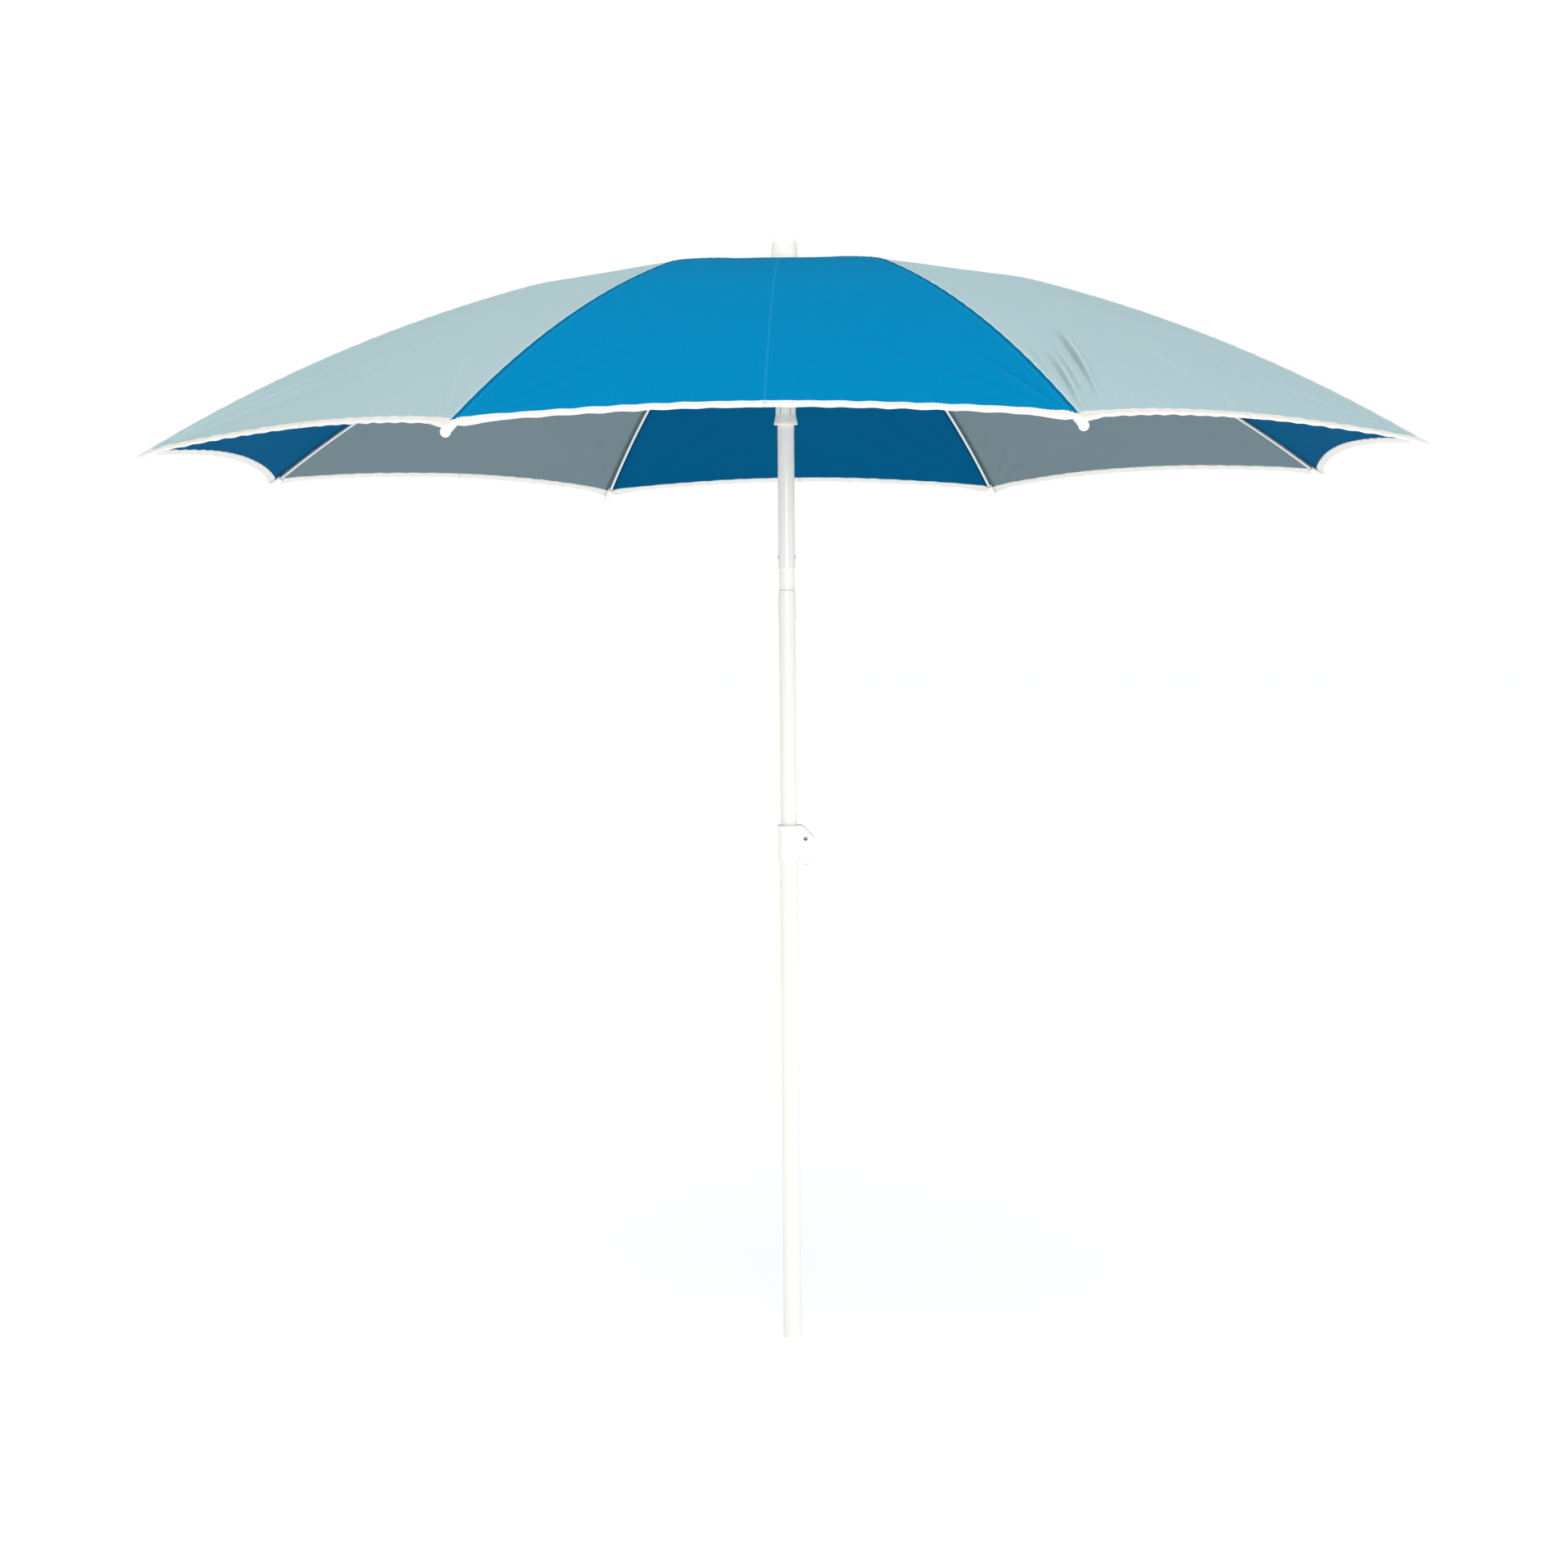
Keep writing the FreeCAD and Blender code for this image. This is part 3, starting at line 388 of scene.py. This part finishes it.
# ---- the cloth's surface ----------------------------------------------------------------
def circle_height(points, reach):
    """The height at a reach of the circle through three points."""
    (x1, z1), (x2, z2), (x3, z3) = points
    a = x1 * (z2 - z3) - z1 * (x2 - x3) + x2 * z3 - x3 * z2
    b = (x1**2 + z1**2) * (z3 - z2) + (x2**2 + z2**2) * (z1 - z3) + (x3**2 + z3**2) * (z2 - z1)
    c = (x1**2 + z1**2) * (x2 - x3) + (x2**2 + z2**2) * (x3 - x1) + (x3**2 + z3**2) * (x1 - x2)
    centre = (-b / (2 * a), -c / (2 * a))
    radius = math.hypot(x1 - centre[0], z1 - centre[1])
    return centre[1] + math.sqrt(radius**2 - (reach - centre[0]) ** 2)


def rib_line(reach):
    """The cloth's height over a rib, with the bend at the brackets slightly eased."""

    def sharp(place):
        return circle_height(CLOTH_INNER if place < BEND_REACH else CLOTH_OUTER, place)

    return (sharp(reach - BEND_SOFTNESS) + 2 * sharp(reach) + sharp(reach + BEND_SOFTNESS)) / 4


def rim_distance(share):
    """The rim's distance from the pole along the panel's middle; share is 0 at the crease, 1 at a rib."""
    return RIM_MIDDLE - SCALLOP_DEPTH * (1 - share**2)


# sharp folds pulled out of a rib's tip: each from and to (inwards from the rim, sideways from the
# rib), then its height and half width
PULLED_CREASES = {
    (7, -1): (
        ((0.030, 0.056), (0.200, 0.120), 0.0046, 0.0060),
        ((0.005, 0.010), (0.130, 0.052), 0.0042, 0.0056),
        ((0.025, 0.034), (0.145, 0.072), 0.0026, 0.0048),
        ((0.050, 0.004), (0.150, 0.030), 0.0018, 0.0048),
    ),
    (5, -1): (
        ((0.010, 0.012), (0.150, 0.045), 0.0026, 0.0055),
        ((0.020, 0.030), (0.170, 0.105), 0.0022, 0.0060),
    ),
    (4, 1): (
        ((0.010, 0.012), (0.160, 0.050), 0.0018, 0.0060),
        ((0.020, 0.030), (0.150, 0.095), 0.0014, 0.0060),
    ),
    (6, 1): (
        ((0.012, 0.014), (0.120, 0.050), 0.0010, 0.0060),
    ),
}
DEEPEST_FOLD = max(height for creases in PULLED_CREASES.values() for _, _, height, _ in creases)

# how hard the cloth is pulled at a rib's tip
TIP_PULL = {(5, -1): 1.8, (4, 1): 1.8, (6, 1): 1.2}
USUAL_PULL = 0.7

# each kind of small fold: its height, and how far it reaches where it dies out
PULLED_HEIGHT, PULLED_REACH = 0.0009, 0.09
GATHER_HEIGHT, GATHER_REACH = 0.0005, 0.03
PUCKER_HEIGHT, PUCKER_REACH = 0.00022, 0.012
SOFT_HEIGHT = 0.0008


class HalfPanel:
    """Half of a panel, from its middle crease (share 0) to a rib (share 1)."""

    def __init__(self, panel, side):
        self.panel = panel
        self.side = side
        self.rib = (panel if side > 0 else panel - 1) % RIBS
        self.name = f"{panel + 1}{'a' if side > 0 else 'b'}"
        self.along = Vector((math.cos(panel * SECTOR), math.sin(panel * SECTOR), 0))
        self.across = Vector((-self.along.y, self.along.x, 0)) * side
        self.blue = panel in BLUE_PANELS
        dice = random.Random(100 * panel + side)
        self.fold_count = dice.uniform(15, 21)
        self.fold_phase = dice.uniform(0, 2 * math.pi)
        self.pull = TIP_PULL.get((panel, side), USUAL_PULL)
        self.creases = PULLED_CREASES.get((panel, side), ())
        self.ripple_phase = dice.uniform(0, 2 * math.pi)

    def pulled_folds(self, distance, share):
        """For each sharp fold that a point may touch: how far beside it, in widths, and its height."""
        out = RIM_MIDDLE - distance
        inward = (1 - share) * distance * SPREAD
        for (out_0, side_0), (out_1, side_1), height, width in self.creases:
            run = math.hypot(out_1 - out_0, side_1 - side_0)
            ahead = ((out - out_0) * (out_1 - out_0) + (inward - side_0) * (side_1 - side_0)) / run
            aside = ((inward - side_0) * (out_1 - out_0) - (out - out_0) * (side_1 - side_0)) / run
            part = ahead / run
            if 0 < part < 1:
                yield aside / (width * (0.55 + 0.9 * part)), height * math.sin(math.pi * part) ** 0.8

    def fold_shade_and_highlight(self, distance, share):
        """How much painted shadow a sharp fold lays in its hollow, and how much painted highlight along
        its ridge.
        """
        fold_shadow = fold_highlight = 0.0
        for beside, height in self.pulled_folds(distance, share):
            strength = height / DEEPEST_FOLD
            fold_shadow += strength * math.exp(-(((beside + 0.7) / 0.7) ** 2))
            fold_highlight += strength * math.exp(-(((beside - 0.35) / 0.4) ** 2))
        return min(1, fold_shadow), min(1, fold_highlight)

    def wrinkle(self, distance, share):
        """The cloth's small folds: pulled from the rib tip, gathered by the tape and the seam."""
        out = RIM_MIDDLE - distance
        inward = (1 - share) * distance * SPREAD
        spread = math.hypot(out, inward)
        angle = math.atan2(inward, max(out, 1e-6))
        reach = spread / PULLED_REACH
        strength = reach * math.exp(1 - reach) if reach > 0 else 0
        fan = math.sin(angle / (math.pi / 2) * math.pi) ** 2
        folds = math.cos(self.fold_count * angle + self.fold_phase + 9 * spread)
        pulled = PULLED_HEIGHT * self.pull * strength * fan * folds
        edge = rim_distance(share) - distance
        gather = math.exp(-edge / GATHER_REACH) * math.sin(share * 62 + self.ripple_phase)
        gather = gather * (1 - share) * share * 4
        pucker = math.exp(-inward / PUCKER_REACH) * math.sin(distance * 290 + self.ripple_phase) * share
        soft = math.sin(distance * 23 + share * 7 + self.fold_phase) * share * (1 - share)
        for beside, height in self.pulled_folds(distance, share):
            steep = 0.5 if beside < 0 else 1.3
            pulled += height * math.exp(-((beside / steep) ** 2))
        return pulled + GATHER_HEIGHT * gather + PUCKER_HEIGHT * pucker + SOFT_HEIGHT * soft

    def point(self, distance, share, raised=0.0):
        """A point of the cloth, raised or lowered by some height."""
        offset = distance * SPREAD * share
        place = self.along * distance + self.across * offset
        height = rib_line(distance / SHRINK)
        settled = min(1.0, max(0.0, (distance - 0.03) / 0.1))
        place.z = height + self.wrinkle(distance, share) * settled + raised
        return place

    def normal(self, distance, share):
        """The cloth's upward normal, from points a little to each side."""
        step, share_step = 0.0015, 0.004
        low, high = max(distance - step, CENTRE_HOLE), distance + step
        outward = self.point(high, share) - self.point(low, share)
        left, right = max(share - share_step, 0), min(share + share_step, 1)
        sideways = self.point(distance, right) - self.point(distance, left)
        result = outward.cross(sideways).normalized()
        return result if result.z > 0 else -result


TOP, BOTTOM, EDGE = range(3)


def grid_mesh(name, rows, normals, bottom_rows, uvs, materials):
    """A thin closed sheet from a grid of top points and a grid of bottom points."""
    row_count, column_count = len(rows), len(rows[0])
    points = [p for row in rows for p in row] + [p for row in bottom_rows for p in row]
    size = row_count * column_count
    top_normals = [v for row in normals for v in row]
    faces, kinds = [], []

    def at(i, j, layer):
        return layer * size + i * column_count + j

    for i in range(row_count - 1):
        for j in range(column_count - 1):
            faces.append((at(i, j, 0), at(i + 1, j, 0), at(i + 1, j + 1, 0), at(i, j + 1, 0)))
            kinds.append(TOP)
            faces.append((at(i, j, 1), at(i, j + 1, 1), at(i + 1, j + 1, 1), at(i + 1, j, 1)))
            kinds.append(BOTTOM)
    border = [(i, 0) for i in range(row_count)]
    border += [(row_count - 1, j) for j in range(1, column_count)]
    border += [(i, column_count - 1) for i in range(row_count - 2, -1, -1)]
    border += [(0, j) for j in range(column_count - 2, 0, -1)]
    for index, here in enumerate(border):
        there = border[(index + 1) % len(border)]
        faces.append((at(*here, 0), at(*here, 1), at(*there, 1), at(*there, 0)))
        kinds.append(EDGE)

    mesh = bpy.data.meshes.new(name)
    mesh.from_pydata([tuple(p) for p in points], [], faces)
    for material in materials:
        mesh.materials.append(material)
    if mesh.polygons[0].normal.z < 0:
        mesh.flip_normals()
    custom = []
    layers = {key: mesh.uv_layers.new(name=key) for key in uvs}
    for polygon, kind in zip(mesh.polygons, kinds):
        polygon.use_smooth = True
        polygon.material_index = 1 if kind == BOTTOM else 0
        for loop in polygon.loop_indices:
            vertex = mesh.loops[loop].vertex_index % size
            for key, layer in layers.items():
                layer.data[loop].uv = uvs[key][vertex]
            if kind == EDGE:
                custom.append(tuple(polygon.normal))
            else:
                custom.append(tuple(top_normals[vertex] * (1 if kind == TOP else -1)))
    mesh.normals_split_custom_set(custom)
    obj = bpy.data.objects.new(name, mesh)
    bpy.context.scene.collection.objects.link(obj)
    return obj


def spaced(count, start, end):
    """Evenly spaced numbers, both ends included."""
    return [start + (end - start) * i / (count - 1) for i in range(count)]


# ---- the cloth, in pieces that fold with the ribs ---------------------------------------
def fold_axis(half, lean):
    """The direction in which a folding half panel gathers: sideways, and outwards by lean."""
    turn = half.rib * SECTOR + HALF
    radial = Vector((math.cos(turn), math.sin(turn), 0))
    tangent = Vector((-radial.y, radial.x, 0)) * -half.side
    start = Vector((BEND_REACH, 0, rib_line(BEND_REACH)))
    end = Vector((RIM_REACH, 0, rib_line(RIM_REACH)))
    chord = (end - start).normalized()
    drop = radial * chord.z - Vector((0, 0, 1)) * chord.x
    return (tangent + drop * lean).normalized()


def fold_anchor(half, reach):
    """The point over the rib that a folding piece gathers towards."""
    turn = half.rib * SECTOR + HALF
    return Vector((reach * math.cos(turn), reach * math.sin(turn), rib_line(reach)))


def gather(piece, half, outer):
    """Make a piece of a half panel ride its rib."""
    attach(piece, f"{'outer' if outer else 'rib'}_{half.rib + 1}")
    reach = RIM_REACH if outer else BEND_REACH
    lean, keep = OUTER_FOLD if outer else INNER_FOLD
    fold_axis(half, lean)
    fold_anchor(half, reach)
    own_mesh(piece)


# closer columns at a panel's middle crease and at its seam
SHARE_EDGES = ([0, 0.006, 0.014, 0.03], [0.958, 0.972, 0.982, 0.990, 0.996, 1])

# the ridge that the seam makes beside the rib, and the cloth of the allowance under it
RIDGE_HEIGHT, RIDGE_PLACE, RIDGE_WIDTH = 0.0007, 0.0012, 0.0014
ALLOWANCE_THICKNESS = 0.0006


def cloth_piece(half, outer, top, under):
    """One half panel's cloth, inside or outside the bend of the ribs."""
    rows, normals, below, panel_uv, seam_uv, fold_shading_uv = [], [], [], [], [], []
    dense = 3 if half.creases and outer else 1
    steps = spaced(62 * dense if outer else 30, 0, 1)
    shares = SHARE_EDGES[0] + spaced(24 * dense, 0.06, 0.94) + SHARE_EDGES[1]
    for step in steps:
        row, row_normals, row_below = [], [], []
        for share in shares:
            start, end = (BEND_MIDDLE, rim_distance(share)) if outer else (CENTRE_HOLE, BEND_MIDDLE)
            distance = start + (end - start) * step
            from_rib = (1 - share) * distance * SPREAD * SHRINK
            seam = RIDGE_HEIGHT * max(0, 1 - abs(from_rib - RIDGE_PLACE) / RIDGE_WIDTH)
            doubled = ALLOWANCE_THICKNESS if from_rib < SEAM_ALLOWANCE else 0
            thin = min(1, distance / 0.06)
            row.append(half.point(distance, share, seam * thin))
            row_below.append(half.point(distance, share, -CLOTH_THICKNESS - doubled * thin))
            row_normals.append(half.normal(distance, share))
            panel_uv.append((distance * SPREAD * share, distance))
            seam_uv.append((from_rib, rim_distance(share) - distance))
            # the painted fold shadow and highlight, carried to the material in a UV map
            fold_shading_uv.append(half.fold_shade_and_highlight(distance, share))
        rows.append(row)
        normals.append(row_normals)
        below.append(row_below)
    name = f"cloth_{'outer' if outer else 'inner'}_{half.name}"
    maps = {"panel": panel_uv, "seam": seam_uv, "fold": fold_shading_uv}
    piece = grid_mesh(name, rows, normals, below, maps, [top, under])
    gather(piece, half, outer)
    return piece


def tape_edges(half, to_tip):
    """How far the tape reaches inwards and past the rim, at a distance from the rib's tip."""
    if half.blue:
        gathered = math.exp(-((to_tip / 0.007) ** 2))
        bulge = min(max(0, to_tip - 0.003) / 0.014, max(0, 1 - (to_tip - 0.017) / 0.034))
        return TAPE_WIDTH * (1 - 0.55 * gathered), 0.0007 + 0.0036 * bulge
    slack = max(0, 1 - to_tip / 0.040)
    return TAPE_WIDTH * (1 - 0.2 * slack), 0.0007 + 0.0046 * slack


def tape_piece(half, material):
    """Binding tape folded over half of a panel's rim, puffed along both edges.

    The profile goes once round the tape: share of its width from the inner edge, and height.
    """
    sections = 120
    profile = [
        (0.0, 0.0002),
        (0.0, 0.0009),
        (0.1, 0.0012),
        (0.24, 0.0010),
        (0.47, 0.0008),
        (0.69, 0.0010),
        (0.86, 0.0012),
        (0.97, 0.0007),
        (1.0, -0.0003),
        (0.97, -0.0011),
        (0.86, -0.0015),
        (0.69, -0.0013),
        (0.47, -0.0012),
        (0.24, -0.0013),
        (0.1, -0.0015),
        (0.0, -0.0013),
        (0.0, -0.0006),
    ]
    points, uvs, faces = [], [], []
    count = len(profile)
    for i in range(sections):
        share = (i / (sections - 1)) ** 0.85
        to_tip = (1 - share) * HALF_RIM
        wave = 1 + 0.10 * math.sin(share * 41 + half.ripple_phase) + 0.06 * math.sin(share * 97)
        middle_knot = 1 + 0.5 * math.exp(-((share / 0.012) ** 2))
        rim = rim_distance(share)
        inner, past = tape_edges(half, to_tip)
        for across, height in profile:
            place = rim - inner + across * (inner + past)
            lift = height * wave * (middle_knot if height > 0 else 1)
            sag = 0.3 * max(0, place - rim)
            points.append(tuple(half.point(place, share, lift - sag)))
            turned = across if height > -0.0003 else 2 - across
            uvs.append((share * HALF_RIM, turned * TAPE_WIDTH))
    for i in range(sections - 1):
        for j in range(count):
            k = (j + 1) % count
            faces.append((i * count + j, i * count + k, (i + 1) * count + k, (i + 1) * count + j))
    faces.append(tuple(range(count)))
    faces.append(tuple(reversed([(sections - 1) * count + j for j in range(count)])))
    mesh = bpy.data.meshes.new(f"hem_tape_{half.name}")
    mesh.from_pydata(points, [], faces)
    mesh.materials.append(material)
    layer = mesh.uv_layers.new(name="tape")
    for polygon in mesh.polygons:
        polygon.use_smooth = len(polygon.vertices) == 4
        for loop in polygon.loop_indices:
            layer.data[loop].uv = uvs[mesh.loops[loop].vertex_index]
    mesh.validate()
    tidy_normals(mesh)
    piece = bpy.data.objects.new(mesh.name, mesh)
    bpy.context.scene.collection.objects.link(piece)
    gather(piece, half, True)
    return piece


def tidy_normals(mesh):
    """Turn every face of a closed mesh outwards."""
    work = bmesh.new()
    work.from_mesh(mesh)
    bmesh.ops.recalc_face_normals(work, faces=work.faces)
    work.to_mesh(mesh)
    work.free()


def stitch_piece(half, material):
    """A row of thread stitches along the tape's inner edge, above and below the cloth."""
    points, faces = [], []
    pitch, length, thick = 0.0036, 0.0025, 0.00022
    above, below, inset = 0.00125, -0.0016, 0.0016
    last_share = 0.985
    for index in range(int(HALF_RIM / pitch)):
        for raised in (above, below):
            base = len(points)
            for end in (0, 0.5, 1):
                share = (index * pitch + 0.5 * pitch + (end - 0.5) * length) / HALF_RIM
                share = min(max(share, 0), last_share)
                swell = thick if end == 0.5 else thick * 0.35
                lift = raised + (thick if end == 0.5 else -thick) * (1 if raised > 0 else -1)
                distance = rim_distance(share) - TAPE_WIDTH + inset
                for side_step, rise in ((-1, 0), (0, 1), (1, 0), (0, -1)):
                    place = half.point(distance + side_step * swell, share, lift + rise * swell)
                    points.append(tuple(place))
            for ring in range(2):
                for j in range(4):
                    k = (j + 1) % 4
                    a = base + ring * 4
                    faces.append((a + j, a + k, a + 4 + k, a + 4 + j))
            faces.append((base + 3, base + 2, base + 1, base))
            faces.append((base + 8, base + 9, base + 10, base + 11))
    mesh = bpy.data.meshes.new(f"hem_stitches_{half.name}")
    mesh.from_pydata(points, [], faces)
    mesh.materials.append(material)
    tidy_normals(mesh)
    piece = bpy.data.objects.new(mesh.name, mesh)
    bpy.context.scene.collection.objects.link(piece)
    gather(piece, half, True)
    return piece


def flat_area(half, outer):
    """The cut size of a half panel's inner or outer piece: width, length and area."""
    start, end = (BEND_MIDDLE, RIM_MIDDLE) if outer else (CENTRE_HOLE, BEND_MIDDLE)
    steps = 60
    area, length = 0.0, 0.0
    before = None
    for i in range(steps + 1):
        distance = start + (end - start) * i / steps
        height = rib_line(distance / SHRINK)
        if before:
            run = math.hypot(distance - before[0], height - before[1])
            reached = (distance + before[0]) / 2
            lowest = 0.0
            if outer and reached > rim_distance(0):
                lowest = math.sqrt(1 - (RIM_MIDDLE - reached) / SCALLOP_DEPTH)
            area += run * reached * SPREAD * (1 - lowest)
            length += run
        before = (distance, height)
    return (end * SPREAD, length), area


# ---- building it ------------------------------------------------------------------------
camera()
studio()

BLUE = (0.0006, 0.205, 0.425, 1)
GREY = (0.378, 0.512, 0.540, 1)
PALE = (0.66, 0.76, 0.78, 1)
PALE_BLUE = (0.04, 0.33, 0.56, 1)
# painted shade: the blue as it looks in the shade about the crown
CROWN_SHADE_BLUE = (0.0006, 0.136, 0.235, 1)
# painted shade: the undersides are darker copies of the top colours, standing for the shade beneath the
# canopy
BLUE_UNDER_SHADED = (0.0003, 0.084, 0.200, 1)
GREY_UNDER_SHADED = (0.156, 0.215, 0.240, 1)
blue_top = cloth_material("cloth_blue", BLUE, PALE_BLUE, CROWN_SHADE_BLUE, shade(BLUE, 0.55), 0.85)
# the grey cloth's crown colour is a touch lighter: painted light near the pole
grey_top = cloth_material("cloth_grey", GREY, PALE, shade(GREY, 1.05), PALE, 0.35)
blue_under = underside_material("cloth_blue_under_shaded", BLUE_UNDER_SHADED)
grey_under = underside_material("cloth_grey_under_shaded", GREY_UNDER_SHADED)
tape_cloth = tape_material()
thread = thread_material()

for panel in range(RIBS):
    for side in (1, -1):
        half = HalfPanel(panel, side)
        top, under = (blue_top, blue_under) if half.blue else (grey_top, grey_under)
        tape = tape_piece(half, tape_cloth)
        stitches = stitch_piece(half, thread)
        for outer in (False, True):
            piece = cloth_piece(half, outer, top, under)
            flat, area = flat_area(half, outer)
            if outer and side > 0:
                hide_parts(f"canopy_{half.rib + 1}")

PAINT = paint_material("white_gloss_paint", (0.87, 0.845, 0.79, 1), 0.24)
PLASTIC = plastic_material("white_plastic", (0.93, 0.90, 0.835, 1), 0.36)
DARK_STEEL = steel_material("dark_steel", (0.11, 0.11, 0.12, 1), 0.42, 0.85)
WIRE = steel_material("bright_wire", (0.55, 0.55, 0.55, 1), 0.35, 0.9)
RIB_PAINT = steel_material("rib_paint", (0.72, 0.74, 0.74, 1), 0.4, 0.15)
FINISHES = {
    "white_paint": PAINT,
    "white_plastic": PLASTIC,
    "steel": DARK_STEEL,
    "rib_steel": RIB_PAINT,
}
slots = {row["node"]: row["material_slot"] for row in frame["record"]["subparts"]}
for node, obj in NODES.items():
    finish = WIRE if node.endswith("_wire") else FINISHES.get(slots[node])
    if finish:
        for place in obj.material_slots:
            place.material = finish
